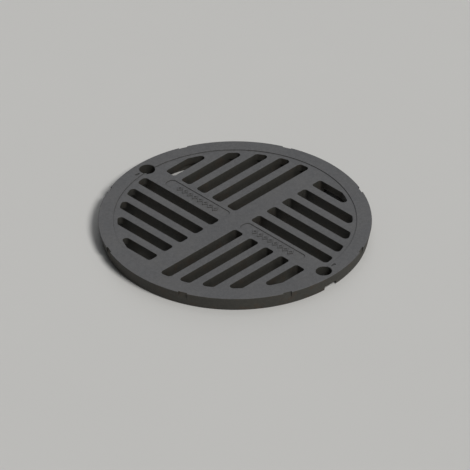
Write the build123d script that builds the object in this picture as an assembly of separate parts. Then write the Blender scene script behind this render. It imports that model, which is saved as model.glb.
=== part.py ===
from build123d import *
import math
import os

# Ventilated round manhole cover with two quarter-turn locks. Millimetres, +Z up.
# Origin: centre of the cover at its seat plane. The cross band runs along X and Y,
# and the key holes lie on the Y axis.

# --- cover: driving dimensions ---
TOP_RADIUS = 200.0
HEIGHT = 23.0
RIM_DRAFT = 11.5            # degrees, the rim narrows downwards
RIM_EDGE_ROUND = 0.8
SEAT_EDGE_CHAMFER = 0.8
RING_BAND = 22.0            # flat outer band, above the slotted field
FIELD_DEPTH = 1.0           # the slotted field lies this far below the outer band
DECK_THICKNESS = 12.5       # beyond the outermost slots, from the top of the outer band
RIB_LIFT = 2.0              # bars end this far above the seat plane

# --- slots ---
SLOT_WIDTH = 18.0
BAR_WIDTH = 13.5
CROSS_HALF_WIDTH = 16.0     # plain band between the inner ends of the slots
SLOT_RIM_LAND = 6.5         # between the slots' outer ends and the outer band
SLOT_LEDGE = 3.0            # deck left between a slot's end and the seat ring
SHORTEST_SLOT_SIDE = 40.0   # a slot is left out when its short side would be less
SLOT_INNER_FLAT = 9.0       # straight stretch between the two roundings of the inner end
SLOT_OUTER_ROUND = 5.5
SLOT_EDGE_ROUND = 0.5
RELIEF_MARGIN = 6.0         # cross rib under the deck is wider than the plain band by this
RELIEF_ROUND = 3.0

# --- marking panels ---
PANEL_LAND = 6.5            # between the panel's long side and the slots
PANEL_START = 16.0          # from the centre
PANEL_RIM_GAP = 39.0        # between the panel's outer end and the outer band
PANEL_DEPTH = 1.0
PANEL_CORNER = 7.5
PIP_END_GAP = 17.0          # between the panel's ends and its row of lozenge rings
PIP_WIDTH = 12.0            # across the panel
PIP_LENGTH = 9.0            # along the panel
PIP_GAP = 1.4               # between two rings
PIP_STROKE = 1.7            # width of the ring's raised line
PIP_TAPER = 8.0

# --- notches in the rim edge ---
RIM_NOTCH_COUNT = 8
RIM_NOTCH_WIDTH = 13.6
RIM_NOTCH_DEPTH = 2.4

# --- key holes and their marks ---
KEY_HOLE_DIAMETER = 23.5
KEY_HOLE_INSET = 18.0       # from the top edge of the cover to the hole's centre
MARK_GAP = 3.5              # between the hole's edge and the mark
MARK_LENGTH = 9.0
MARK_POINT = 1.4            # width at the end near the hole
MARK_TAIL = 4.2             # width at the far end
MARK_DEPTH = 1.4

# --- quarter-turn locks ---
TONGUE_PROJECTION = 3.7     # past the foot of the cover, when the tongue is turned out
TONGUE_HEEL_GRIP = 1.25     # how far the heel reaches past the key hole's edge
TONGUE_SHOULDER = 0.5       # the bar is wider than the journal by this on each side
TONGUE_THICKNESS = 3.2
TONGUE_EDGE = 0.5
KEY_SOCKET = 7.0            # across flats
SOCKET_FLOOR = 1.1
JOURNAL_WALL = 1.55         # round the socket's corners
JOURNAL_CLEARANCE = 0.05    # radial, a running fit
SWING_CLEARANCE = 0.3
SPRING_THICKNESS = 0.4
SPRING_RISE = 0.5
SPRING_WIDTH = 2.8
SPRING_BORE_CLEARANCE = 0.2
SPRING_END_GAP = 0.05

# --- retaining plates and screws ---
PLATE_THICKNESS = 2.0
PLATE_RECESS = 0.5          # the plate lies this far inside the seat plane
PLATE_HUB_WALL = 3.15       # round the journal's bore
PLATE_EAR_WALL = 2.2        # round the screw heads
PLATE_CLEARANCE = 0.3
SCREW_LAND = 4.7            # between the swing pocket and a screw hole
SCREW_DIAMETER = 4.0
SCREW_LENGTH = 10.0
SCREW_HEAD_DIAMETER = 7.6
SCREW_CLEARANCE = 0.05      # radial
SCREW_SOCKET = 2.5          # across flats of the hexagon
SCREW_SOCKET_DEPTH = 1.2
SCREW_TIP_CHAMFER = 0.5
HOLE_TIP_GAP = 1.0

# --- values worked out from the dimensions above ---
BOTTOM_RADIUS = TOP_RADIUS - HEIGHT * math.tan(math.radians(RIM_DRAFT))
FIELD_RADIUS = TOP_RADIUS - RING_BAND
FIELD_TOP = HEIGHT - FIELD_DEPTH
DECK_BOTTOM = HEIGHT - DECK_THICKNESS
SLOT_END_RADIUS = FIELD_RADIUS - SLOT_RIM_LAND
SEAT_INNER_RADIUS = SLOT_END_RADIUS + SLOT_LEDGE
SLOT_PITCH = SLOT_WIDTH + BAR_WIDTH
SLOT_INNER_ROUND = (SLOT_WIDTH - SLOT_INNER_FLAT) / 2
FIRST_SLOT = CROSS_HALF_WIDTH + SLOT_WIDTH / 2
PANEL_HALF_WIDTH = CROSS_HALF_WIDTH - PANEL_LAND
PANEL_END = FIELD_RADIUS - PANEL_RIM_GAP
KEY_HOLE_RADIUS = KEY_HOLE_DIAMETER / 2
KEY_HOLE_CENTRE = TOP_RADIUS - KEY_HOLE_INSET
PLATE_TOP = PLATE_RECESS + PLATE_THICKNESS
TONGUE_BOTTOM = PLATE_TOP + SPRING_THICKNESS + SPRING_RISE + 2 * SPRING_END_GAP
TONGUE_TOP = TONGUE_BOTTOM + TONGUE_THICKNESS
POCKET_HEIGHT = TONGUE_TOP + SWING_CLEARANCE
TONGUE_REACH = BOTTOM_RADIUS + TONGUE_PROJECTION - KEY_HOLE_CENTRE
TONGUE_HEEL = KEY_HOLE_RADIUS + TONGUE_HEEL_GRIP
JOURNAL_RADIUS = KEY_SOCKET / math.sqrt(2) + JOURNAL_WALL
JOURNAL_BOTTOM = PLATE_RECESS + SWING_CLEARANCE
TONGUE_WIDTH = 2 * (JOURNAL_RADIUS + TONGUE_SHOULDER)
PLATE_BORE_RADIUS = JOURNAL_RADIUS + JOURNAL_CLEARANCE
PLATE_HUB_RADIUS = PLATE_BORE_RADIUS + PLATE_HUB_WALL
PLATE_EAR_RADIUS = SCREW_HEAD_DIAMETER / 2 + PLATE_EAR_WALL
SCREW_OFFSET = TONGUE_REACH + SWING_CLEARANCE + SCREW_LAND + SCREW_DIAMETER / 2
OVERRUN = 5.0               # cutting tools run past the faces by this much
STAND_UP = (Align.CENTER, Align.CENTER, Align.MIN)


def ring_angle_copies(shape, count, first=0.0):
    """Copies of a shape, evenly spaced round the Z axis."""
    return [Rot(0, 0, first + 360.0 / count * i) * shape for i in range(count)]


def slot_rows():
    """Distances of the slots' centre lines from the cross band's centre line."""
    short_side = CROSS_HALF_WIDTH + SHORTEST_SLOT_SIDE
    farthest = math.sqrt(SLOT_END_RADIUS ** 2 - short_side ** 2) - SLOT_WIDTH / 2
    count = int((farthest - FIRST_SLOT) / SLOT_PITCH) + 1
    return [FIRST_SLOT + SLOT_PITCH * i for i in range(count)]


def arc_ended_strip(x_start, y_low, y_high, end_radius, inner_round, outer_round):
    """A strip along +X that ends on an arc about the cover's centre, with rounded corners."""
    strip = Pos(x_start, (y_low + y_high) / 2) * Rectangle(
        end_radius, y_high - y_low, align=(Align.MIN, Align.CENTER))
    strip = strip & Circle(end_radius)
    face = fillet(strip.vertices().sort_by(Axis.X)[2:], outer_round)
    return fillet(face.vertices().sort_by(Axis.X)[:2], inner_round)


def slot_outline(row, end_radius):
    """Plan of one slot of the first quadrant, running along X at Y = row."""
    half = SLOT_WIDTH / 2
    return arc_ended_strip(CROSS_HALF_WIDTH, row - half, row + half, end_radius,
                           SLOT_INNER_ROUND, SLOT_OUTER_ROUND)


def relief_outline():
    """Plan of the hollow under the deck, outboard of the outermost slot."""
    inner_edge = slot_rows()[-1] - SLOT_WIDTH / 2
    start = CROSS_HALF_WIDTH + RELIEF_MARGIN
    block = Pos(start, inner_edge) * Rectangle(
        SEAT_INNER_RADIUS, SEAT_INNER_RADIUS, align=(Align.MIN, Align.MIN))
    face = block & Circle(SEAT_INNER_RADIUS)
    return fillet(face.vertices(), RELIEF_ROUND)


def panel_outline():
    """Plan of one marking panel on the +Y arm of the cross band."""
    length = PANEL_END - PANEL_START
    return Pos(0, (PANEL_START + PANEL_END) / 2) * RectangleRounded(
        2 * PANEL_HALF_WIDTH, length, PANEL_CORNER)


def lozenge(width, length):
    """Plan of a lozenge about the origin."""
    return make_face(Polyline((-width / 2, 0), (0, -length / 2), (width / 2, 0),
                              (0, length / 2), close=True))


def panel_pips():
    """Raised lozenge rings on the floor of one marking panel, level with the field."""
    pitch = PIP_LENGTH + PIP_GAP
    room = PANEL_END - PANEL_START - 2 * PIP_END_GAP - PIP_LENGTH
    count = int(room / pitch) + 1
    middle = (PANEL_START + PANEL_END) / 2
    shrink = 2 * PIP_STROKE * math.hypot(1 / PIP_WIDTH, 1 / PIP_LENGTH)
    core = lozenge(PIP_WIDTH * (1 - shrink), PIP_LENGTH * (1 - shrink))
    pip = extrude(lozenge(PIP_WIDTH, PIP_LENGTH), PANEL_DEPTH, taper=PIP_TAPER)
    pip = pip - extrude(core, PANEL_DEPTH)
    floor = FIELD_TOP - PANEL_DEPTH
    first = middle - pitch * (count - 1) / 2
    return [Pos(0, first + pitch * i, floor) * pip for i in range(count)]


def pocket_sweep():
    """Plan swept by the tongue over its turn, about its own axis, with clearance.

    The tongue rests along -X and turns clockwise, seen from above, to +Y."""
    side = TONGUE_WIDTH / 2 + SWING_CLEARANCE
    tip = TONGUE_REACH + SWING_CLEARANCE
    heel = TONGUE_HEEL + SWING_CLEARANCE
    tip_side = Pos(side, -side) * Rectangle(2 * tip, 2 * tip, align=(Align.MAX, Align.MIN))
    heel_side = Pos(-side, side) * Rectangle(2 * heel, 2 * heel, align=(Align.MIN, Align.MAX))
    return (Circle(tip) & tip_side) + (Circle(heel) & heel_side)


def skirt_notch_half_width():
    """Half width of the notch in the skirt, where the swept circle leaves the cover's foot."""
    sweep = TONGUE_REACH + SWING_CLEARANCE
    outward = (BOTTOM_RADIUS ** 2 - KEY_HOLE_CENTRE ** 2 - sweep ** 2) / (2 * KEY_HOLE_CENTRE)
    return math.sqrt(sweep ** 2 - outward ** 2)


def plate_outline(extra=0.0):
    """Plan of the retaining plate about the turning axis, grown by extra all round."""
    ears = SlotCenterToCenter(2 * SCREW_OFFSET, 2 * (PLATE_EAR_RADIUS + extra))
    return ears + Circle(PLATE_HUB_RADIUS + extra)


def at_lock(shape):
    """Moves a shape from the turning axis at the origin to the +Y key hole."""
    return Pos(0, KEY_HOLE_CENTRE) * shape


def key_hole_cuts():
    """Key hole, its eased edges, swing pocket, skirt notch, plate seat and screw holes."""
    radius = KEY_HOLE_RADIUS
    reach = KEY_HOLE_INSET + OVERRUN
    hole = Pos(0, 0, POCKET_HEIGHT) * Cylinder(radius, HEIGHT, align=STAND_UP)
    band_edge = Pos(0, 0, HEIGHT - RIM_EDGE_ROUND) * Cone(
        radius, radius + RIM_EDGE_ROUND, RIM_EDGE_ROUND, align=STAND_UP)
    pocket = Pos(0, 0, -OVERRUN) * extrude(pocket_sweep(), OVERRUN + POCKET_HEIGHT)
    notch = Pos(0, 0, -OVERRUN) * Box(2 * skirt_notch_half_width(), reach,
                                      OVERRUN + POCKET_HEIGHT,
                                      align=(Align.CENTER, Align.MIN, Align.MIN))
    seat = Pos(0, 0, -OVERRUN) * extrude(plate_outline(PLATE_CLEARANCE), OVERRUN + PLATE_TOP)
    depth = PLATE_RECESS + SCREW_LENGTH + HOLE_TIP_GAP
    screw_hole = Cylinder(SCREW_DIAMETER / 2 + SCREW_CLEARANCE, depth, align=STAND_UP)
    screw_holes = [Pos(side * SCREW_OFFSET, 0) * screw_hole for side in (-1, 1)]
    return [at_lock(cut) for cut in (hole, band_edge, pocket, notch, seat, *screw_holes)]


def rim_notch_cut():
    """Tool for one notch in the rim edge, centred on +X."""
    block = Pos(FIELD_RADIUS, 0, -OVERRUN) * Box(
        2 * RING_BAND, RIM_NOTCH_WIDTH, HEIGHT + 2 * OVERRUN,
        align=(Align.MIN, Align.CENTER, Align.MIN))
    core = Pos(0, 0, -2 * OVERRUN) * Cylinder(
        TOP_RADIUS - RIM_NOTCH_DEPTH, HEIGHT + 4 * OVERRUN, align=STAND_UP)
    return block - core


def key_mark_cut():
    """Sunk drop beside the +Y key hole, pointing at it, where the tongue is parked."""
    point = Pos(-(KEY_HOLE_RADIUS + MARK_GAP + MARK_POINT / 2), 0) * Circle(MARK_POINT / 2)
    tail = Pos(-(KEY_HOLE_RADIUS + MARK_GAP + MARK_LENGTH - MARK_TAIL / 2), 0) * Circle(
        MARK_TAIL / 2)
    drop = make_face(make_hull(point.edges() + tail.edges()))
    return at_lock(Pos(0, 0, HEIGHT - MARK_DEPTH) * extrude(drop, MARK_DEPTH + OVERRUN))


def slot_edges(solid):
    """Edges of the slots on the field's top face, without the field's own round edge."""
    largest_arc = (SLOT_END_RADIUS + FIELD_RADIUS) / 2
    level = solid.edges().filter_by_position(Axis.Z, FIELD_TOP, FIELD_TOP)
    return [edge for edge in level
            if edge.geom_type != GeomType.CIRCLE or edge.radius < largest_arc]


def cover_casting():
    """The casting: draft-sided disc, slotted field, panels, notches and lock pockets."""
    blank = Cone(BOTTOM_RADIUS, TOP_RADIUS, HEIGHT, align=STAND_UP)
    blank = fillet(blank.edges().group_by(Axis.Z)[-1], RIM_EDGE_ROUND)
    blank = chamfer(blank.edges().group_by(Axis.Z)[0], SEAT_EDGE_CHAMFER)
    field = Pos(0, 0, FIELD_TOP) * Cylinder(FIELD_RADIUS, FIELD_DEPTH + OVERRUN, align=STAND_UP)
    underside = Pos(0, 0, -OVERRUN) * Cylinder(SEAT_INNER_RADIUS, OVERRUN + RIB_LIFT,
                                               align=STAND_UP)
    through = [extrude(slot_outline(row, SLOT_END_RADIUS), HEIGHT) for row in slot_rows()]
    low = [Pos(0, 0, -OVERRUN) * extrude(slot_outline(row, SEAT_INNER_RADIUS),
                                         OVERRUN + DECK_BOTTOM) for row in slot_rows()]
    relief = Pos(0, 0, -OVERRUN) * extrude(relief_outline(), OVERRUN + DECK_BOTTOM)
    quadrant = through + low + [relief]
    casting = blank - field - underside
    casting = casting - [copy for cut in quadrant for copy in ring_angle_copies(cut, 4)]
    casting = fillet(slot_edges(casting), SLOT_EDGE_ROUND)
    panel = Pos(0, 0, FIELD_TOP - PANEL_DEPTH) * extrude(panel_outline(), PANEL_DEPTH + OVERRUN)
    casting = casting - ring_angle_copies(panel, 2)
    casting = casting + [copy for pip in panel_pips() for copy in ring_angle_copies(pip, 2)]
    casting = casting - ring_angle_copies(key_mark_cut(), 2)
    casting = casting - ring_angle_copies(rim_notch_cut(), RIM_NOTCH_COUNT,
                                          180.0 / RIM_NOTCH_COUNT)
    return casting - [copy for cut in key_hole_cuts() for copy in ring_angle_copies(cut, 2)]


def lock_tongue():
    """Turning tongue at rest, pointing along -X: bar, journal below and key socket above."""
    span = 2 * max(TONGUE_REACH, TONGUE_HEEL)
    tip_half = Rectangle(span, TONGUE_WIDTH, align=(Align.MAX, Align.CENTER))
    heel_half = Rectangle(span, TONGUE_WIDTH, align=(Align.MIN, Align.CENTER))
    plan = (tip_half & Circle(TONGUE_REACH)) + (heel_half & Circle(TONGUE_HEEL))
    bar = Pos(0, 0, TONGUE_BOTTOM) * extrude(plan, TONGUE_THICKNESS)
    bar = chamfer(bar.edges().group_by(Axis.Z)[-1] + bar.edges().group_by(Axis.Z)[0], TONGUE_EDGE)
    journal = Pos(0, 0, JOURNAL_BOTTOM) * Cylinder(
        JOURNAL_RADIUS, TONGUE_BOTTOM - JOURNAL_BOTTOM, align=STAND_UP)
    journal = chamfer(journal.edges().group_by(Axis.Z)[0], TONGUE_EDGE)
    socket = Pos(0, 0, JOURNAL_BOTTOM + SOCKET_FLOOR) * Box(
        KEY_SOCKET, KEY_SOCKET, HEIGHT, align=STAND_UP)
    return (bar + journal) - socket


def disc_spring():
    """Dished spring ring round the journal, between the plate and the tongue."""
    inner = JOURNAL_RADIUS + SPRING_BORE_CLEARANCE
    outer = inner + SPRING_WIDTH
    section = Polyline((inner, SPRING_RISE), (outer, 0), (outer, SPRING_THICKNESS),
                       (inner, SPRING_RISE + SPRING_THICKNESS), close=True)
    ring = revolve(make_face(Plane.XZ * section), Axis.Z)
    return Pos(0, 0, PLATE_TOP + SPRING_END_GAP) * ring


def countersink():
    """Cone of a countersunk screw head, its wide end on Z = 0."""
    head = SCREW_HEAD_DIAMETER / 2
    return Cone(head, SCREW_DIAMETER / 2, head - SCREW_DIAMETER / 2, align=STAND_UP)


def retaining_plate():
    """Plate that carries the tongue's journal, let into the underside."""
    plate = extrude(plate_outline(), PLATE_THICKNESS)
    through = 2 * (PLATE_THICKNESS + OVERRUN)
    bore = Cylinder(PLATE_BORE_RADIUS, through)
    grow = 1 + 2 * SCREW_CLEARANCE / SCREW_HEAD_DIAMETER
    screw_hole = Cylinder(SCREW_DIAMETER / 2 + SCREW_CLEARANCE, through)
    cuts = [bore]
    for side in (-1, 1):
        cuts += [Pos(side * SCREW_OFFSET, 0) * screw_hole,
                 Pos(side * SCREW_OFFSET, 0) * scale(countersink(), grow)]
    return Pos(0, 0, PLATE_RECESS) * (plate - cuts)


def plate_screws():
    """The two countersunk screws of one plate, as separate solids."""
    shank = Cylinder(SCREW_DIAMETER / 2, SCREW_LENGTH, align=STAND_UP)
    shank = chamfer(shank.edges().group_by(Axis.Z)[-1], SCREW_TIP_CHAMFER)
    flats = extrude(RegularPolygon(SCREW_SOCKET / 2, 6, major_radius=False), SCREW_SOCKET_DEPTH)
    screw = (shank + countersink()) - flats
    return [Pos(side * SCREW_OFFSET, 0, PLATE_RECESS) * screw for side in (-1, 1)]


def write(name, *solids):
    """Writes one node."""
    shape = solids[0] if len(solids) == 1 else Compound(children=list(solids))
    export_step(shape, f"parts/{name}.step")


def main():
    """Builds every node and writes it."""
    os.makedirs("parts", exist_ok=True)
    write("cover_casting", cover_casting())
    for side, turn in (("a", 0), ("b", 180)):
        place = Rot(0, 0, turn) * Pos(0, KEY_HOLE_CENTRE)
        write(f"lock_tongue_{side}", place * lock_tongue())
        write(f"disc_spring_{side}", place * disc_spring())
        write(f"retaining_plate_{side}", place * retaining_plate())
        write(f"plate_screws_{side}", *[place * screw for screw in plate_screws()])


main()
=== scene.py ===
"""Ventilated round manhole cover: finishes, spring rings, floor, lights and camera.

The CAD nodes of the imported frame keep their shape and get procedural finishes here. Each lock's
dished spring node is replaced by a waved spring ring, modelled in the space that the node holds.
Every length is in metres, in the frame's own axes, with the cover's seat plane at Z = 0.
"""

import logging
import math
from dataclasses import dataclass, field, replace
from enum import Enum, IntEnum

import bpy
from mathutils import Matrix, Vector


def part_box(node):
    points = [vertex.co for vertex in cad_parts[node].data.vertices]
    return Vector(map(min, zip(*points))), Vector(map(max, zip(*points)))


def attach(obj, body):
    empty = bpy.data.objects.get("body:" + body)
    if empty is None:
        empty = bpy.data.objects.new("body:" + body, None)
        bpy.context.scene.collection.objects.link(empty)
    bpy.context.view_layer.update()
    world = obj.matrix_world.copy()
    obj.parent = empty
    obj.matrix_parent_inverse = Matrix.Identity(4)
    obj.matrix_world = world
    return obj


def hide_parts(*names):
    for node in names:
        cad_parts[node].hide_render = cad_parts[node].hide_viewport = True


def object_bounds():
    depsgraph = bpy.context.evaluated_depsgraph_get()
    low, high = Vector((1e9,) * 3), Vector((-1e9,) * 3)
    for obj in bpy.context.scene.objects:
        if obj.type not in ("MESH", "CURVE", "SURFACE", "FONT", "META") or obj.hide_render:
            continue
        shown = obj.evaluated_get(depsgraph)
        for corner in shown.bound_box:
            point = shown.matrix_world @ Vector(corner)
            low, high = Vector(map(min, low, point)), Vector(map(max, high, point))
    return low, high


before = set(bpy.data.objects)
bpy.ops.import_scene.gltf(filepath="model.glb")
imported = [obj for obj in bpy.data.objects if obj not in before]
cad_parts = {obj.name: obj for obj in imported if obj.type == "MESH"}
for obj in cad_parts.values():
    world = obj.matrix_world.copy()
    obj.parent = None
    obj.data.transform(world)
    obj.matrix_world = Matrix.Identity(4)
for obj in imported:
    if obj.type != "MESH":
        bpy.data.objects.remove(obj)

CAD_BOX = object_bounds()
LOG = logging.getLogger("manhole_cover")

Socket = bpy.types.NodeSocket
Group = bpy.types.ShaderNodeTree
Rgb = tuple[float, float, float]
Span = tuple[float, float]
Point = tuple[float, float]


class Lock(Enum):
    """The two locks, by the ending of their node names. Lock a lies at +Y and lock b at -Y."""

    A = "a"
    B = "b"


class MixSocket(IntEnum):
    """Where a colour Mix node keeps its sockets."""

    SHARE = 0
    FIRST = 6
    SECOND = 7
    RESULT = 2


# ---------------------------------------------------------------------------------------------
# Node graphs
# ---------------------------------------------------------------------------------------------


@dataclass
class Graph:
    """A node tree that is filled in by short calls.

    Args:
        tree: The node tree of a material or of a shader group.
    """

    tree: bpy.types.NodeTree

    def add(self, kind: str, /, outlet: int | str = 0, **values: object) -> Socket:
        """Adds a node and returns one of its outputs.

        Args:
            kind: The node's type name, such as "ShaderNodeTexNoise".
            outlet: The name or number of the output to return.
            **values: Properties of the node, or inputs where the name starts with "in_".

        Returns:
            The chosen output socket.
        """
        node = self.tree.nodes.new(kind)
        inputs: dict[str, object] = {}
        for name, value in values.items():
            if name.startswith("in_"):
                inputs[name.removeprefix("in_")] = value
            else:
                setattr(node, name, value)
        for name, value in inputs.items():
            key = int(name) if name.isdigit() else name.replace("_", " ").title()
            self.feed(node.inputs[key], value)
        return node.outputs[outlet]

    def feed(self, inlet: Socket, value: object) -> None:
        """Links a socket to an input, or sets the input to a plain value.

        Args:
            inlet: The input to fill.
            value: A socket to link, or a number or tuple to set.
        """
        if isinstance(value, bpy.types.NodeSocket):
            self.tree.links.new(value, inlet)
        else:
            inlet.default_value = value

    def math(self, operation: str, first: object, second: object = 0.0,
             clamp: bool = False) -> Socket:
        """Adds a Math node, with its result kept between 0 and 1 if clamp is set."""
        return self.add("ShaderNodeMath", operation=operation, use_clamp=clamp,
                        in_0=first, in_1=second)

    def times(self, first: object, second: object, clamp: bool = False) -> Socket:
        """The product of two values."""
        return self.math("MULTIPLY", first, second, clamp)

    def plus(self, first: object, second: object) -> Socket:
        """The sum of two values."""
        return self.math("ADD", first, second)

    def minus(self, first: object, second: object) -> Socket:
        """The first value less the second."""
        return self.math("SUBTRACT", first, second)

    def remap(self, value: object, span: Span, result: Span = (0.0, 1.0)) -> Socket:
        """Maps a value smoothly, so that the span's two ends give the result's two ends."""
        return self.add("ShaderNodeMapRange", interpolation_type="SMOOTHSTEP",
                        in_0=value, in_1=span[0], in_2=span[1], in_3=result[0], in_4=result[1])

    def noise(self, vector: Socket, scale: object, detail: float = 2.0,
              roughness: float = 0.5) -> Socket:
        """Adds a Noise Texture with scale lumps per metre, and returns its value."""
        return self.add("ShaderNodeTexNoise", in_vector=vector, in_scale=scale, in_detail=detail,
                        in_roughness=roughness)

    def height_of(self, vector: Socket) -> Socket:
        """The Z part of a point or normal."""
        return self.add("ShaderNodeSeparateXYZ", outlet="Z", in_vector=vector)

    def face_normal(self) -> Socket:
        """The surface's own normal."""
        return self.add("ShaderNodeNewGeometry", outlet="Normal")

    def blend(self, share: object, first: object, second: object) -> Socket:
        """Adds a colour Mix node.

        Args:
            share: How much of the second colour shows.
            first: The colour at share 0.
            second: The colour at share 1.

        Returns:
            The mixed colour.
        """
        node = self.tree.nodes.new("ShaderNodeMix")
        node.data_type = "RGBA"
        self.feed(node.inputs[MixSocket.SHARE], share)
        self.feed(node.inputs[MixSocket.FIRST], first)
        self.feed(node.inputs[MixSocket.SECOND], second)
        return node.outputs[MixSocket.RESULT]


def rgba(colour: Rgb) -> tuple[float, float, float, float]:
    """A colour with full alpha, as node inputs take it."""
    return (*colour, 1.0)


def new_group(name: str, inlets: dict[str, tuple[str, object]],
              outlets: dict[str, str]
              ) -> tuple[Group, Graph, bpy.types.NodeOutputs, bpy.types.NodeInputs]:
    """Starts a shader node group with named sockets.

    Args:
        name: The group's name.
        inlets: For each input, its socket type's last word and its default.
        outlets: For each output, its socket type's last word.

    Returns:
        The group, its graph, its input node's outputs and its output node's inputs.
    """
    tree = bpy.data.node_groups.new(name, "ShaderNodeTree")
    for label, (kind, default) in inlets.items():
        made = tree.interface.new_socket(name=label, in_out="INPUT",
                                         socket_type=f"NodeSocket{kind}")
        if default is not None:
            made.default_value = default
    for label, kind in outlets.items():
        tree.interface.new_socket(name=label, in_out="OUTPUT", socket_type=f"NodeSocket{kind}")
    entry = tree.nodes.new("NodeGroupInput")
    leave = tree.nodes.new("NodeGroupOutput")
    return tree, Graph(tree), entry.outputs, leave.inputs


# ---------------------------------------------------------------------------------------------
# Effects that more than one finish uses
# ---------------------------------------------------------------------------------------------


@dataclass(frozen=True)
class SandGrain:
    """Rounded grains with a few open pits, as a sand mould leaves them.

    Args:
        lump_size: How coarse the soft lumps are, as a share of the grain count.
        dome_size: The same for the rounded grains.
        pit_size: The same for the pits.
        pit_span: The distance from a pit's centre at which it starts, and where it is deepest.
        skin_part: The fine skin's part of the height.
        dome_part: The rounded grains' part of the height.
        lump_part: The soft lumps' part of the height.
    """

    lump_size: float = 0.24
    dome_size: float = 0.62
    pit_size: float = 0.11
    pit_span: Span = (0.16, 0.05)
    skin_part: float = 0.45
    dome_part: float = 0.35
    lump_part: float = 0.3

    def build(self) -> Group:
        """Makes the group.

        Returns:
            A group with a Height output.
        """
        tree, g, entry, leave = new_group(
            "sand_grain",
            {"Vector": ("Vector", None), "Grains": ("Float", 900.0), "Pitting": ("Float", 0.3)},
            {"Height": "Float"})
        place, grains = entry["Vector"], entry["Grains"]
        skin = g.noise(place, grains, detail=3.0, roughness=0.55)
        lumps = g.noise(place, g.times(grains, self.lump_size))
        cells = g.add("ShaderNodeTexVoronoi", feature="SMOOTH_F1", in_vector=place,
                      in_scale=g.times(grains, self.dome_size))
        domes = g.minus(1.0, cells)
        pit_cells = g.add("ShaderNodeTexVoronoi", in_vector=place,
                          in_scale=g.times(grains, self.pit_size))
        pits = g.times(g.remap(pit_cells, self.pit_span), entry["Pitting"])
        body = g.plus(g.times(skin, self.skin_part), g.times(domes, self.dome_part))
        body = g.plus(body, g.times(lumps, self.lump_part))
        g.feed(leave["Height"], g.minus(body, pits))
        return tree


@dataclass(frozen=True)
class EdgeWear:
    """Rubbed corners: where the surface turns within a small radius, broken up by noise.

    Args:
        turn_span: The cosine of the turn at which wear starts, and where it is full.
        patches: Worn patches per metre.
        patch_span: The noise at which a patch starts, and where it is full.
        samples: The number of rays that find an edge.
    """

    turn_span: Span = (0.995, 0.82)
    patches: float = 160.0
    patch_span: Span = (0.3, 0.62)
    samples: int = 6

    def build(self) -> Group:
        """Makes the group.

        Returns:
            A group with a Mask output, and a Rounded output with the softened normal.
        """
        tree, g, entry, leave = new_group(
            "edge_wear",
            {"Vector": ("Vector", None), "Radius": ("Float", 0.0008), "Amount": ("Float", 0.6)},
            {"Mask": "Float", "Rounded": "Vector"})
        rounded = g.add("ShaderNodeBevel", samples=self.samples, in_radius=entry["Radius"])
        turned = g.add("ShaderNodeVectorMath", operation="DOT_PRODUCT", outlet="Value",
                       in_0=rounded, in_1=g.face_normal())
        edge = g.remap(turned, self.turn_span)
        patches = g.noise(entry["Vector"], self.patches, detail=4.0, roughness=0.65)
        patchy = g.remap(patches, self.patch_span)
        g.feed(leave["Mask"], g.times(g.times(edge, patchy), entry["Amount"], clamp=True))
        g.feed(leave["Rounded"], rounded)
        return tree


@dataclass(frozen=True)
class SettledDust:
    """Fine dust that lies on faces that look upwards, in drifts.

    Args:
        facing_span: The upward part of the normal at which dust starts to lie, and lies fully.
        drift_span: The noise at which a drift starts, and where it is full.
        specks: Specks per metre.
        speck_span: The noise at which a speck starts, and where it is full.
        haze: How much dust lies between the specks.
    """

    facing_span: Span = (0.55, 0.98)
    drift_span: Span = (0.36, 0.68)
    specks: float = 1500.0
    speck_span: Span = (0.42, 0.66)
    haze: float = 0.45

    def build(self) -> Group:
        """Makes the group.

        Returns:
            A group with a Mask output.
        """
        tree, g, entry, leave = new_group(
            "settled_dust",
            {"Vector": ("Vector", None), "Amount": ("Float", 0.3), "Drift": ("Float", 28.0)},
            {"Mask": "Float"})
        facing = g.remap(g.height_of(g.face_normal()), self.facing_span)
        drifts = g.noise(entry["Vector"], entry["Drift"], detail=5.0, roughness=0.62)
        specks = g.noise(entry["Vector"], self.specks, detail=1.0)
        lying = g.times(g.remap(drifts, self.drift_span),
                        g.plus(g.remap(specks, self.speck_span), self.haze))
        g.feed(leave["Mask"], g.times(g.times(lying, facing), entry["Amount"], clamp=True))
        return tree


@dataclass(frozen=True)
class HollowPaintedShade:
    """Painted shade: a darker colour in slots, holes and inner corners, where less open sky
    reaches.

    Args:
        open_span: The share of open sky at which the painted shade starts, and where it is full.
        streaks: Streaks per metre.
        streak_span: The noise between which the streaks change.
        streak_range: The weakest and the strongest of the painted shade.
        samples: The number of rays that find a hollow.
    """

    open_span: Span = (0.95, 0.6)
    streaks: float = 90.0
    streak_span: Span = (0.2, 0.8)
    streak_range: Span = (0.82, 1.0)
    samples: int = 8

    def build(self) -> Group:
        """Makes the group.

        Returns:
            A group with a Mask output.
        """
        tree, g, entry, leave = new_group(
            "hollow_painted_shade",
            {"Vector": ("Vector", None), "Reach": ("Float", 0.02), "Amount": ("Float", 0.5)},
            {"Mask": "Float"})
        # Painted shade: ambient occlusion darkens the colour where the surface is hemmed in.
        open_sky = g.add("ShaderNodeAmbientOcclusion", outlet="AO", samples=self.samples,
                         only_local=True, in_distance=entry["Reach"])
        deep = g.remap(open_sky, self.open_span)
        streaks = g.noise(entry["Vector"], self.streaks, detail=3.0, roughness=0.6)
        uneven = g.remap(streaks, self.streak_span, self.streak_range)
        g.feed(leave["Mask"], g.times(g.times(deep, uneven), entry["Amount"], clamp=True))
        return tree


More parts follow.
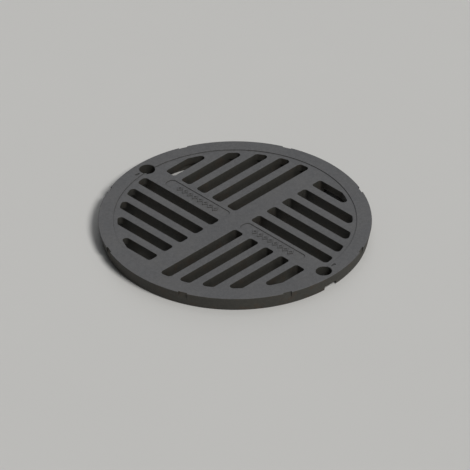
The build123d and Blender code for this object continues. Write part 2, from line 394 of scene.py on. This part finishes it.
@dataclass(frozen=True)
class ToneDrift:
    """Slow change of tone over the surface, with a finer cloud inside it.

    Args:
        clouds: Fine clouds per metre.
        slow_part: The slow change's part of the tone.
        cloud_part: The fine clouds' part of the tone.
        middle: The middle of the noise, which leaves the tone as it is.
    """

    clouds: float = 420.0
    slow_part: float = 0.65
    cloud_part: float = 0.35
    middle: float = 0.5

    def build(self) -> Group:
        """Makes the group.

        Returns:
            A group with a Value output round 1.
        """
        tree, g, entry, leave = new_group(
            "tone_drift",
            {"Vector": ("Vector", None), "Size": ("Float", 14.0), "Depth": ("Float", 0.12)},
            {"Value": "Float"})
        slow = g.noise(entry["Vector"], entry["Size"], detail=4.0, roughness=0.55)
        clouds = g.noise(entry["Vector"], self.clouds)
        mixed = g.plus(g.times(slow, self.slow_part), g.times(clouds, self.cloud_part))
        swing = g.times(g.minus(mixed, self.middle), entry["Depth"])
        g.feed(leave["Value"], g.plus(1.0, g.times(swing, 1.0 / self.middle)))
        return tree


@dataclass(frozen=True)
class FineSpeckle:
    """Light and dark specks of two sizes, as the skin of a casting shows.

    Args:
        wide_size: How coarse the wider specks are, as a share of the speck count.
        speck_span: The noise at which a speck is darkest and lightest.
    """

    wide_size: float = 0.4
    speck_span: Span = (0.3, 0.7)

    def build(self) -> Group:
        """Makes the group.

        Returns:
            A group with a Value output round 1.
        """
        tree, g, entry, leave = new_group(
            "fine_speckle",
            {"Vector": ("Vector", None), "Specks": ("Float", 500.0), "Depth": ("Float", 0.1)},
            {"Value": "Float"})
        small = g.noise(entry["Vector"], entry["Specks"], roughness=0.7)
        wide_specks = g.times(entry["Specks"], self.wide_size)
        wide = g.noise(entry["Vector"], wide_specks, roughness=0.6)
        dark_to_light = (-1.0, 1.0)
        mixed = g.plus(g.remap(small, self.speck_span, dark_to_light),
                       g.remap(wide, self.speck_span, dark_to_light))
        g.feed(leave["Value"], g.plus(1.0, g.times(mixed, entry["Depth"])))
        return tree


@dataclass
class SharedEffects:
    """The shader groups, each built once and placed in the finishes with their own values."""

    hollow_painted_shade: Group = field(default_factory=HollowPaintedShade().build)
    sand_grain: Group = field(default_factory=SandGrain().build)
    edge_wear: Group = field(default_factory=EdgeWear().build)
    settled_dust: Group = field(default_factory=SettledDust().build)
    tone_drift: Group = field(default_factory=ToneDrift().build)
    fine_speckle: Group = field(default_factory=FineSpeckle().build)


# ---------------------------------------------------------------------------------------------
# Finishes
# ---------------------------------------------------------------------------------------------


@dataclass(frozen=True)
class Finish:
    """What every finish starts from.

    Args:
        label: The material's name.
        colour: The clean colour, linear.
        roughness: The clean roughness.
    """

    label: str
    colour: Rgb
    roughness: float

    def start(self) -> tuple[bpy.types.Material, Graph, bpy.types.Node, Socket]:
        """Makes the material with its shader.

        Returns:
            The material, its graph, the Principled BSDF and the object coordinates.
        """
        material = bpy.data.materials.new(self.label)
        material.use_nodes = True
        g = Graph(material.node_tree)
        shader = material.node_tree.nodes["Principled BSDF"]
        place = g.add("ShaderNodeTexCoord", outlet="Object")
        return material, g, shader, place

    def roughness_round(self, swing: float) -> Span:
        """The roughness a little below and a little above the clean one."""
        return (self.roughness - swing, self.roughness + swing)

    @staticmethod
    def effect(g: Graph, tree: Group, outlet: str, **values: object) -> Socket:
        """Places a shared effect in a material with its own values.

        Args:
            g: The material's graph.
            tree: The shader group.
            outlet: The group's output to return.
            **values: The group's inputs, by name.

        Returns:
            The chosen output.
        """
        node = g.tree.nodes.new("ShaderNodeGroup")
        node.node_tree = tree
        for name, value in values.items():
            g.feed(node.inputs[name.title()], value)
        return node.outputs[outlet]

    @staticmethod
    def tint(g: Graph, colour: Rgb, value: Socket) -> Socket:
        """Multiplies a colour by a value."""
        return g.add("ShaderNodeVectorMath", operation="SCALE", in_0=colour, in_scale=value)

    @staticmethod
    def relief(g: Graph, shader: bpy.types.Node, height: Socket, strength: float,
               distance: float, rounded: Socket | None = None) -> None:
        """Turns a height into the shader's normal.

        Args:
            g: The material's graph.
            shader: The Principled BSDF.
            height: The height, in the group's own units.
            strength: The Bump node's strength.
            distance: The height of one unit, in metres.
            rounded: The normal with softened edges, where the finish has it.
        """
        bump = g.add("ShaderNodeBump", in_strength=strength, in_distance=distance,
                     in_height=height)
        if rounded is not None:
            g.feed(bump.node.inputs["Normal"], rounded)
        g.feed(shader.inputs["Normal"], bump)


@dataclass(frozen=True)
class CastIron(Finish):
    """Dark, evenly coated grey iron with a fine sand-cast skin.

    Args:
        shaded_wall_colour: Painted shade: a darker, warmer copy of the top's colour for the
            walls.
        wall_span: The upward part of the normal between which top becomes wall.
        drift_size: Slow changes of tone per metre.
        drift_depth: How far they go from the middle tone.
        specks: Specks per metre.
        speck_depth: How light and dark they are.
        painted_shade_colour: The colour of the painted shade in slots, holes and inner corners.
        painted_shade_heights: The heights between which the painted shade gets stronger,
            downwards.
        painted_shade_range: Its amount at those heights.
        painted_shade_reach: How far from a face a hollow's other side may be.
        dust_colour: The dust on the top.
        dust: Its amount.
        dust_drift: Its drifts per metre.
        dust_roughness: How much rougher full dust is than the coating.
        rubbed_colour: The bare metal of the worn edges.
        wear: Its amount.
        wear_radius: How far wear reaches from an edge.
        wear_polish: How much smoother a worn edge is.
        rust_colour: The brown blooms on the walls.
        rust: Their amount.
        blooms: Blooms per metre.
        bloom_span: The noise at which a bloom starts, and where it is full.
        grains: Sand grains per metre.
        pitting: How deep the pits are.
        relief_strength: How strongly the grains turn the normal.
        relief_height: The height of the grains.
        shine: The specular level of the coating.
    """

    # Painted shade: about half the top's brightness, and a little warmer.
    shaded_wall_colour: Rgb = (0.0495, 0.0481, 0.0424)
    wall_span: Span = (0.80, 0.35)
    drift_size: float = 11.0
    drift_depth: float = 0.16
    specks: float = 520.0
    speck_depth: float = 0.07
    painted_shade_colour: Rgb = (0.008, 0.0078, 0.0070)
    painted_shade_heights: Span = (0.018, 0.006)
    painted_shade_range: Span = (0.55, 0.90)
    painted_shade_reach: float = 0.022
    dust_colour: Rgb = (0.155, 0.150, 0.140)
    dust: float = 0.16
    dust_drift: float = 24.0
    dust_roughness: float = 0.5
    rubbed_colour: Rgb = (0.150, 0.150, 0.152)
    wear: float = 0.55
    wear_radius: float = 0.0007
    wear_polish: float = 0.2
    rust_colour: Rgb = (0.070, 0.043, 0.026)
    rust: float = 0.35
    blooms: float = 42.0
    bloom_span: Span = (0.48, 0.68)
    grains: float = 620.0
    pitting: float = 0.3
    relief_strength: float = 0.5
    relief_height: float = 0.0005
    shine: float = 0.2

    def build(self, effects: SharedEffects) -> bpy.types.Material:
        """Makes the material.

        Args:
            effects: The shared shader groups.

        Returns:
            The finished material.
        """
        material, g, shader, place = self.start()
        drift = self.effect(g, effects.tone_drift, "Value", vector=place, size=self.drift_size,
                            depth=self.drift_depth)
        specks = self.effect(g, effects.fine_speckle, "Value", vector=place, specks=self.specks,
                             depth=self.speck_depth)
        tone = g.times(drift, specks)
        # Painted shade: the walls take a darker copy of the top's colour.
        base = g.blend(self.side_on(g), self.tint(g, self.colour, tone),
                       self.shaded_wall_and_rust_tone(g, place, tone))
        # Painted shade: slots, holes and inner corners get a darker colour, more strongly towards
        # the bottom.
        sunk = g.remap(g.height_of(place), self.painted_shade_heights, self.painted_shade_range)
        painted_shade = self.effect(g, effects.hollow_painted_shade, "Mask", vector=place,
                            reach=self.painted_shade_reach, amount=sunk)
        base = g.blend(painted_shade, base, rgba(self.painted_shade_colour))
        dust = self.effect(g, effects.settled_dust, "Mask", vector=place, amount=self.dust,
                           drift=self.dust_drift)
        base = g.blend(dust, base, rgba(self.dust_colour))
        worn = self.effect(g, effects.edge_wear, "Mask", vector=place, radius=self.wear_radius,
                           amount=self.wear)
        base = g.blend(worn, base, rgba(self.rubbed_colour))
        g.feed(shader.inputs["Base Color"], base)
        rough = g.plus(self.roughness, g.times(dust, self.dust_roughness))
        g.feed(shader.inputs["Roughness"], g.minus(rough, g.times(worn, self.wear_polish)))
        shader.inputs["Specular IOR Level"].default_value = self.shine
        height = self.effect(g, effects.sand_grain, "Height", vector=place, grains=self.grains,
                             pitting=self.pitting)
        self.relief(g, shader, height, self.relief_strength, self.relief_height,
                    worn.node.outputs["Rounded"])
        return material

    def side_on(self, g: Graph) -> Socket:
        """A mask of the painted-shade walls, 0 where a face looks straight up or down."""
        return g.remap(g.math("ABSOLUTE", g.height_of(g.face_normal())), self.wall_span)

    def shaded_wall_and_rust_tone(self, g: Graph, place: Socket, tone: Socket) -> Socket:
        """The colour of the walls: painted shade as a darker copy of the top's colour, with faint
        brown blooms of rust.

        Args:
            g: The material's graph.
            place: The object coordinates.
            tone: The tone shared with the top.

        Returns:
            The colour.
        """
        blooms = g.noise(place, self.blooms, detail=5.0, roughness=0.7)
        rusty = g.remap(blooms, self.bloom_span, (0.0, self.rust))
        return g.blend(rusty, self.tint(g, self.shaded_wall_colour, tone), rgba(self.rust_colour))


@dataclass(frozen=True)
class GalvanisedSteel(Finish):
    """Dipped zinc: dull crystals of slightly different greys.

    Args:
        crystals: Crystals per metre.
        crystal_range: The darkest and the lightest crystal's tone.
        crystal_swing: How far the crystals' roughness goes to either side.
        drift_size: Slow changes of tone per metre.
        drift_depth: How far they go from the middle tone.
        wear: How much the edges are rubbed.
        wear_radius: How far the rubbing reaches from an edge.
        wear_light: How many times lighter rubbed zinc is.
        grains: Grains per metre.
        pitting: How deep the pits are.
        relief_strength: How strongly the grains turn the normal.
        relief_height: The height of the grains.
    """

    crystals: float = 260.0
    crystal_range: Span = (0.78, 1.16)
    crystal_swing: float = 0.08
    drift_size: float = 60.0
    drift_depth: float = 0.2
    wear: float = 0.7
    wear_radius: float = 0.0004
    wear_light: float = 1.7
    grains: float = 1800.0
    pitting: float = 0.1
    relief_strength: float = 0.3
    relief_height: float = 0.00008

    def build(self, effects: SharedEffects) -> bpy.types.Material:
        """Makes the material.

        Args:
            effects: The shared shader groups.

        Returns:
            The finished material.
        """
        material, g, shader, place = self.start()
        cells = g.add("ShaderNodeTexVoronoi", outlet="Color", in_vector=place,
                      in_scale=self.crystals)
        crystal = g.add("ShaderNodeSeparateXYZ", outlet="X", in_vector=cells)
        tone = g.remap(crystal, (0.0, 1.0), self.crystal_range)
        drift = self.effect(g, effects.tone_drift, "Value", vector=place, size=self.drift_size,
                            depth=self.drift_depth)
        base = self.tint(g, self.colour, g.times(tone, drift))
        worn = self.effect(g, effects.edge_wear, "Mask", vector=place, radius=self.wear_radius,
                           amount=self.wear)
        rubbed = tuple(min(1.0, self.wear_light * part) for part in self.colour)
        g.feed(shader.inputs["Base Color"], g.blend(worn, base, rgba(rubbed)))
        shader.inputs["Metallic"].default_value = 1.0
        g.feed(shader.inputs["Roughness"],
               g.remap(crystal, (0.0, 1.0), self.roughness_round(self.crystal_swing)))
        height = self.effect(g, effects.sand_grain, "Height", vector=place, grains=self.grains,
                             pitting=self.pitting)
        self.relief(g, shader, height, self.relief_strength, self.relief_height)
        return material


@dataclass(frozen=True)
class RolledZincPlate(Finish):
    """Zinc-plated sheet with the faint lay of the rolling along X.

    Args:
        lay: Rolling streaks per metre, across the lay.
        lay_stretch: How far the pattern is drawn out along the lay.
        lay_span: The noise between which the streaks change.
        lay_range: The darkest and the lightest streak's tone.
        lay_swing: How far the streaks' roughness goes to either side.
        drift_size: Slow changes of tone per metre.
        drift_depth: How far they go from the middle tone.
        dust_colour: The dust on the plate.
        dust: Its amount.
        dust_drift: Its drifts per metre.
        relief_strength: How strongly the streaks turn the normal.
        relief_height: The height of the streaks.
    """

    lay: float = 2600.0
    lay_stretch: float = 0.02
    lay_span: Span = (0.2, 0.8)
    lay_range: Span = (0.88, 1.1)
    lay_swing: float = 0.07
    drift_size: float = 45.0
    drift_depth: float = 0.18
    dust_colour: Rgb = (0.2, 0.18, 0.15)
    dust: float = 0.2
    dust_drift: float = 90.0
    relief_strength: float = 0.25
    relief_height: float = 0.00005

    def build(self, effects: SharedEffects) -> bpy.types.Material:
        """Makes the material.

        Args:
            effects: The shared shader groups.

        Returns:
            The finished material.
        """
        material, g, shader, place = self.start()
        stretched = g.add("ShaderNodeMapping", in_vector=place,
                          in_scale=(self.lay_stretch, 1.0, 1.0))
        streaks = g.noise(stretched, self.lay, detail=3.0, roughness=0.6)
        drift = self.effect(g, effects.tone_drift, "Value", vector=place, size=self.drift_size,
                            depth=self.drift_depth)
        tone = g.times(drift, g.remap(streaks, self.lay_span, self.lay_range))
        base = self.tint(g, self.colour, tone)
        dust = self.effect(g, effects.settled_dust, "Mask", vector=place, amount=self.dust,
                           drift=self.dust_drift)
        g.feed(shader.inputs["Base Color"], g.blend(dust, base, rgba(self.dust_colour)))
        shader.inputs["Metallic"].default_value = 1.0
        g.feed(shader.inputs["Roughness"],
               g.remap(streaks, self.lay_span, self.roughness_round(self.lay_swing)))
        self.relief(g, shader, streaks, self.relief_strength, self.relief_height)
        return material


@dataclass(frozen=True)
class TurnedSteel(Finish):
    """Machined steel with fine rings about the vertical line through a given point.

    Args:
        centre: The point, as X and Y.
        rings: The rings' angular rate, in radians per metre.
        ring_range: The darkest and the lightest ring's tone.
        ring_swing: How far the rings' roughness goes to either side.
        drift_size: Slow changes of tone per metre.
        drift_depth: How far they go from the middle tone.
        relief_strength: How strongly the rings turn the normal.
        relief_height: The height of the rings.
    """

    centre: Point = (0.0, 0.0)
    rings: float = 5200.0
    ring_range: Span = (0.93, 1.06)
    ring_swing: float = 0.05
    drift_size: float = 120.0
    drift_depth: float = 0.15
    relief_strength: float = 0.2
    relief_height: float = 0.00002

    def build(self, effects: SharedEffects) -> bpy.types.Material:
        """Makes the material.

        Args:
            effects: The shared shader groups.

        Returns:
            The finished material.
        """
        material, g, shader, place = self.start()
        x, y = self.centre
        centred = g.add("ShaderNodeMapping", in_vector=place, in_location=(-x, -y, 0.0))
        flat = g.add("ShaderNodeVectorMath", operation="MULTIPLY", in_0=centred,
                     in_1=(1.0, 1.0, 0.0))
        radius = g.add("ShaderNodeVectorMath", operation="LENGTH", outlet="Value", in_0=flat)
        wave = g.math("SINE", g.times(radius, self.rings))
        wave_span = (-1.0, 1.0)
        drift = self.effect(g, effects.tone_drift, "Value", vector=place, size=self.drift_size,
                            depth=self.drift_depth)
        tone = g.times(drift, g.remap(wave, wave_span, self.ring_range))
        g.feed(shader.inputs["Base Color"], self.tint(g, self.colour, tone))
        shader.inputs["Metallic"].default_value = 1.0
        g.feed(shader.inputs["Roughness"],
               g.remap(wave, wave_span, self.roughness_round(self.ring_swing)))
        self.relief(g, shader, wave, self.relief_strength, self.relief_height)
        return material


@dataclass(frozen=True)
class PaleFloor(Finish):
    """Plain pale studio floor, with a trace of unevenness.

    Args:
        drift_size: Slow changes of tone per metre.
        drift_depth: How far they go from the middle tone.
    """

    drift_size: float = 3.0
    drift_depth: float = 0.02

    def build(self, effects: SharedEffects) -> bpy.types.Material:
        """Makes the material.

        Args:
            effects: The shared shader groups.

        Returns:
            The finished material.
        """
        material, g, shader, place = self.start()
        drift = self.effect(g, effects.tone_drift, "Value", vector=place, size=self.drift_size,
                            depth=self.drift_depth)
        g.feed(shader.inputs["Base Color"], self.tint(g, self.colour, drift))
        shader.inputs["Roughness"].default_value = self.roughness
        return material


# ---------------------------------------------------------------------------------------------
# Modelling helpers
# ---------------------------------------------------------------------------------------------


def pick_only(piece: bpy.types.Object | None = None) -> None:
    """Leaves edit mode if needed, and selects one piece or none.

    Args:
        piece: The piece to select and make active, if any.
    """
    if bpy.context.object is not None and bpy.context.object.mode != "OBJECT":
        bpy.ops.object.mode_set(mode="OBJECT")
    bpy.ops.object.select_all(action="DESELECT")
    if piece is not None:
        piece.select_set(True)
        bpy.context.view_layer.objects.active = piece


def dress(piece: bpy.types.Object, material: bpy.types.Material) -> None:
    """Gives a piece one material all over."""
    piece.data.materials.clear()
    piece.data.materials.append(material)


# ---------------------------------------------------------------------------------------------
# The object
# ---------------------------------------------------------------------------------------------


@dataclass
class CoverCasting:
    """The iron casting, a CAD node that keeps its shape.

    Args:
        node: The casting's node.
        finish: Its finish.
    """

    node: str = "cover_casting"
    finish: CastIron = CastIron(label="cast_iron_skin", colour=(0.1010, 0.1025, 0.1074),
                                roughness=0.62)

    def build(self, effects: SharedEffects) -> None:
        """Dresses the casting with the help of the shared effects."""
        dress(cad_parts[self.node], self.finish.build(effects))
        LOG.info("dressed %s in %s", self.node, self.finish.label)


@dataclass
class WaveSpring:
    """A waved spring ring, modelled once round the Z axis and copied to each lock.

    Args:
        low: The lowest corner of the room that it fills.
        high: The highest corner of that room.
        spokes: The number of points round the ring.
        waves: The number of waves round the ring.
        width: The width of the ring's strip.
        thickness: The thickness of the strip.
        edge: The width of its eased edges.
        edge_steps: The number of faces across an eased edge.
        smooth_below: The angle, in degrees, below which two faces shade as one.
    """

    low: Vector
    high: Vector
    spokes: int = 96
    waves: int = 3
    width: float = 0.0028
    thickness: float = 0.0003
    edge: float = 0.00006
    edge_steps: int = 2
    smooth_below: float = 40.0

    def model(self) -> bpy.types.Object:
        """Models the ring.

        Returns:
            The pattern ring, which isn't itself part of the cover.
        """
        outer = (self.high.x - self.low.x) / 2
        inner = outer - self.width
        middle = (self.low.z + self.high.z) / 2
        swing = (self.high.z - self.low.z - self.thickness) / 2
        pick_only()
        bpy.ops.mesh.primitive_circle_add(vertices=self.spokes, radius=outer,
                                          location=(0.0, 0.0, middle))
        ring = bpy.context.object
        bpy.ops.object.mode_set(mode="EDIT")
        bpy.ops.mesh.select_all(action="SELECT")
        bpy.ops.mesh.extrude_edges_move()
        bpy.ops.transform.resize(value=(inner / outer, inner / outer, 1.0))
        for spoke in range(self.spokes):
            self.lift_spoke(ring, spoke, swing)
        bpy.ops.object.mode_set(mode="OBJECT")
        self.thicken(ring)
        return ring

    def lift_spoke(self, ring: bpy.types.Object, spoke: int, swing: float) -> None:
        """Moves one spoke's vertices to their height in the wave.

        Args:
            ring: The ring, in edit mode.
            spoke: The spoke's number.
            swing: Half the height of the wave.
        """
        step = math.tau / self.spokes
        angle, near = spoke * step, step / 4
        bpy.ops.object.mode_set(mode="OBJECT")
        for vertex in ring.data.vertices:
            gap = abs(math.atan2(vertex.co.y, vertex.co.x) % math.tau - angle)
            vertex.select = min(gap, math.tau - gap) < near
        bpy.ops.object.mode_set(mode="EDIT")
        bpy.ops.transform.translate(value=(0.0, 0.0, swing * math.cos(self.waves * angle)))

    def thicken(self, ring: bpy.types.Object) -> None:
        """Gives the ring its thickness and eased edges, and puts its height in its mesh.

        Args:
            ring: The ring, in object mode.
        """
        solid = ring.modifiers.new("thickness", "SOLIDIFY")
        solid.thickness = self.thickness
        solid.offset = 0.0
        ease = ring.modifiers.new("eased_edges", "BEVEL")
        ease.width = self.edge
        ease.segments = self.edge_steps
        for modifier in ("thickness", "eased_edges"):
            bpy.ops.object.modifier_apply(modifier=modifier)
        bpy.ops.object.transform_apply(location=True, rotation=True, scale=True)
        bpy.ops.object.shade_smooth_by_angle(angle=math.radians(self.smooth_below))

    @staticmethod
    def copy_to(pattern: bpy.types.Object, name: str, centre: Point) -> bpy.types.Object:
        """Copies the pattern ring to a turning axis, with its own mesh.

        Args:
            pattern: The ring round the Z axis.
            name: The copy's name.
            centre: The turning axis, as X and Y.

        Returns:
            The copy, with its place in its mesh.
        """
        pick_only(pattern)
        bpy.ops.object.duplicate()
        ring = bpy.context.object
        ring.name = name
        bpy.ops.transform.translate(value=(*centre, 0.0))
        bpy.ops.object.transform_apply(location=True, rotation=True, scale=True)
        return ring


@dataclass
class QuarterTurnLock:
    """One lock below a key hole: tongue, spring ring, retaining plate and two screws.

    Args:
        lock: Which lock this is.
        tongue: The tongue's finish.
        plate: The plate's finish.
        screws: The screws' finish.
        spring: The spring ring's finish.
    """

    lock: Lock
    tongue: GalvanisedSteel = GalvanisedSteel(label="galvanised_tongue",
                                              colour=(0.23, 0.23, 0.235), roughness=0.5)
    plate: RolledZincPlate = RolledZincPlate(label="rolled_zinc_plate",
                                             colour=(0.40, 0.40, 0.39), roughness=0.42)
    screws: TurnedSteel = TurnedSteel(label="stainless_screws", colour=(0.52, 0.51, 0.50),
                                      roughness=0.34)
    spring: TurnedSteel = TurnedSteel(label="spring_steel", colour=(0.20, 0.17, 0.13),
                                      roughness=0.36)

    def node(self, stem: str) -> str:
        """The name of one of this lock's nodes."""
        return f"{stem}_{self.lock.value}"

    def centre(self) -> Point:
        """The turning axis, as X and Y, from the spring node's box."""
        low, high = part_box(self.node("disc_spring"))
        return (low.x + high.x) / 2, (low.y + high.y) / 2

    def about_axis(self, finish: TurnedSteel) -> TurnedSteel:
        """A turned finish with its rings about this lock's axis."""
        return replace(finish, label=self.node(finish.label), centre=self.centre())

    def build(self, effects: SharedEffects, pattern: bpy.types.Object) -> None:
        """Dresses the CAD nodes and puts the spring ring in.

        Args:
            effects: The shared shader groups.
            pattern: The spring ring to copy.
        """
        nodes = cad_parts
        dress(nodes[self.node("lock_tongue")], self.tongue.build(effects))
        dress(nodes[self.node("retaining_plate")], self.plate.build(effects))
        dress(nodes[self.node("plate_screws")], self.about_axis(self.screws).build(effects))
        ring = WaveSpring.copy_to(pattern, self.node("wave_spring"), self.centre())
        dress(ring, self.about_axis(self.spring).build(effects))
        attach(ring, "cover")
        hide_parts(self.node("disc_spring"))
        LOG.info("built lock %s round %s", self.lock.value, self.centre())


@dataclass
class LockPair:
    """The two locks, which share one pattern of spring ring."""

    locks: tuple[QuarterTurnLock, ...] = field(
        default_factory=lambda: tuple(QuarterTurnLock(lock) for lock in Lock))

    def build(self, effects: SharedEffects) -> None:
        """Models the pattern ring, builds both locks and takes the pattern away.

        Args:
            effects: The shared shader groups.
        """
        pattern = WaveSpring(*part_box(self.locks[0].node("disc_spring"))).model()
        for lock in self.locks:
            lock.build(effects, pattern)
        spare = pattern.data
        bpy.data.objects.remove(pattern)
        bpy.data.meshes.remove(spare)


# ---------------------------------------------------------------------------------------------
# The studio
# ---------------------------------------------------------------------------------------------


def towards(azimuth: float, elevation: float) -> Vector:
    """The unit vector at an angle from +X towards +Y and a height above the horizon.

    Args:
        azimuth: The angle, in degrees.
        elevation: The height, in degrees.

    Returns:
        The direction.
    """
    turn, lift = math.radians(azimuth), math.radians(elevation)
    return Vector((math.cos(turn) * math.cos(lift), math.sin(turn) * math.cos(lift),
                   math.sin(lift)))


@dataclass(frozen=True)
class SoftLamp:
    """A far lamp with a wide disc, so that its light is even and its shadows are soft.

    Args:
        name: The lamp's name.
        azimuth: Its direction from the cover, in degrees from +X towards +Y.
        elevation: Its height above the horizon, in degrees.
        spread: The width of its disc, in degrees.
        strength: Its light on a face that looks at it, in watts per square metre.
        colour: The colour of its light.
    """

    name: str
    azimuth: float
    elevation: float
    spread: float
    strength: float
    colour: Rgb = (1.0, 1.0, 1.0)

    def build(self) -> None:
        """Makes the lamp."""
        lamp = bpy.data.lights.new(self.name, "SUN")
        lamp.angle = math.radians(self.spread)
        lamp.energy = self.strength
        lamp.color = self.colour
        holder = bpy.data.objects.new(self.name, lamp)
        bpy.context.scene.collection.objects.link(holder)
        away = towards(self.azimuth, self.elevation)
        holder.location = away
        holder.rotation_euler = away.to_track_quat("Z", "Y").to_euler()


@dataclass
class Studio:
    """Pale floor, soft lights and the camera.

    Args:
        floor_size: The side of the floor.
        floor_finish: The floor's finish.
        azimuth: The camera's direction from the cover, in degrees from +X towards +Y.
        elevation: Its height above the horizon, in degrees: that of an isometric view.
        view_width: The width of what it sees at the cover.
        aim_height: The height at which it looks.
        camera_distance: Its distance, so great that the view is nearly parallel.
        world_colour: The colour of the light that fills the room.
        world_strength: The strength of that light.
        lamps: The lamps.
    """

    floor_size: float = 24.0
    floor_finish: PaleFloor = PaleFloor(label="pale_floor", colour=(0.58, 0.58, 0.57),
                                        roughness=0.85)
    azimuth: float = -135.0
    elevation: float = math.degrees(math.atan(1 / math.sqrt(2)))
    view_width: float = 0.686
    aim_height: float = -0.0048
    camera_distance: float = 23.0
    world_colour: Rgb = (0.92, 0.95, 1.0)
    world_strength: float = 0.09
    lamps: tuple[SoftLamp, ...] = (
        SoftLamp("key_lamp", azimuth=-96.0, elevation=48.0, spread=20.0, strength=2.66,
                 colour=(1.0, 0.985, 0.96)),
        SoftLamp("overhead_lamp", azimuth=30.0, elevation=72.0, spread=50.0, strength=0.36),
        SoftLamp("rear_lamp", azimuth=45.0, elevation=28.0, spread=30.0, strength=0.22),
    )

    def build(self, effects: SharedEffects) -> None:
        """Makes the floor, the lights and the camera.

        Args:
            effects: The shared shader groups.
        """
        self.make_floor(effects)
        self.make_world()
        for lamp in self.lamps:
            lamp.build()
        self.make_camera()
        bpy.context.scene.view_settings.view_transform = "Standard"
        LOG.info("set up the studio")

    def make_floor(self, effects: SharedEffects) -> None:
        """Makes the floor at the seat plane.

        Args:
            effects: The shared shader groups.
        """
        pick_only()
        seat = CAD_BOX[0].z
        bpy.ops.mesh.primitive_plane_add(size=self.floor_size, location=(0.0, 0.0, seat))
        floor = bpy.context.object
        floor.name = "studio_floor"
        dress(floor, self.floor_finish.build(effects))

    def make_world(self) -> None:
        """Fills the room with even light."""
        world = bpy.data.worlds.new("soft_room")
        bpy.context.scene.world = world
        world.use_nodes = True
        background = world.node_tree.nodes["Background"]
        background.inputs["Color"].default_value = rgba(self.world_colour)
        background.inputs["Strength"].default_value = self.world_strength

    def make_camera(self) -> None:
        """Makes the camera, with a lens long enough for the view's width."""
        lens = bpy.data.cameras.new("camera")
        lens.lens = lens.sensor_width * self.camera_distance / self.view_width
        camera = bpy.data.objects.new("camera", lens)
        bpy.context.scene.collection.objects.link(camera)
        away = towards(self.azimuth, self.elevation)
        camera.location = Vector((0.0, 0.0, self.aim_height)) + self.camera_distance * away
        camera.rotation_euler = (-away).to_track_quat("-Z", "Y").to_euler()
        bpy.context.scene.camera = camera


def main() -> None:
    """Builds the cover and its studio in order."""
    logging.basicConfig(level=logging.INFO, format="%(name)s: %(message)s")
    effects = SharedEffects()
    Studio().build(effects)
    CoverCasting().build(effects)
    LockPair().build(effects)


if __name__ == "__main__":
    main()
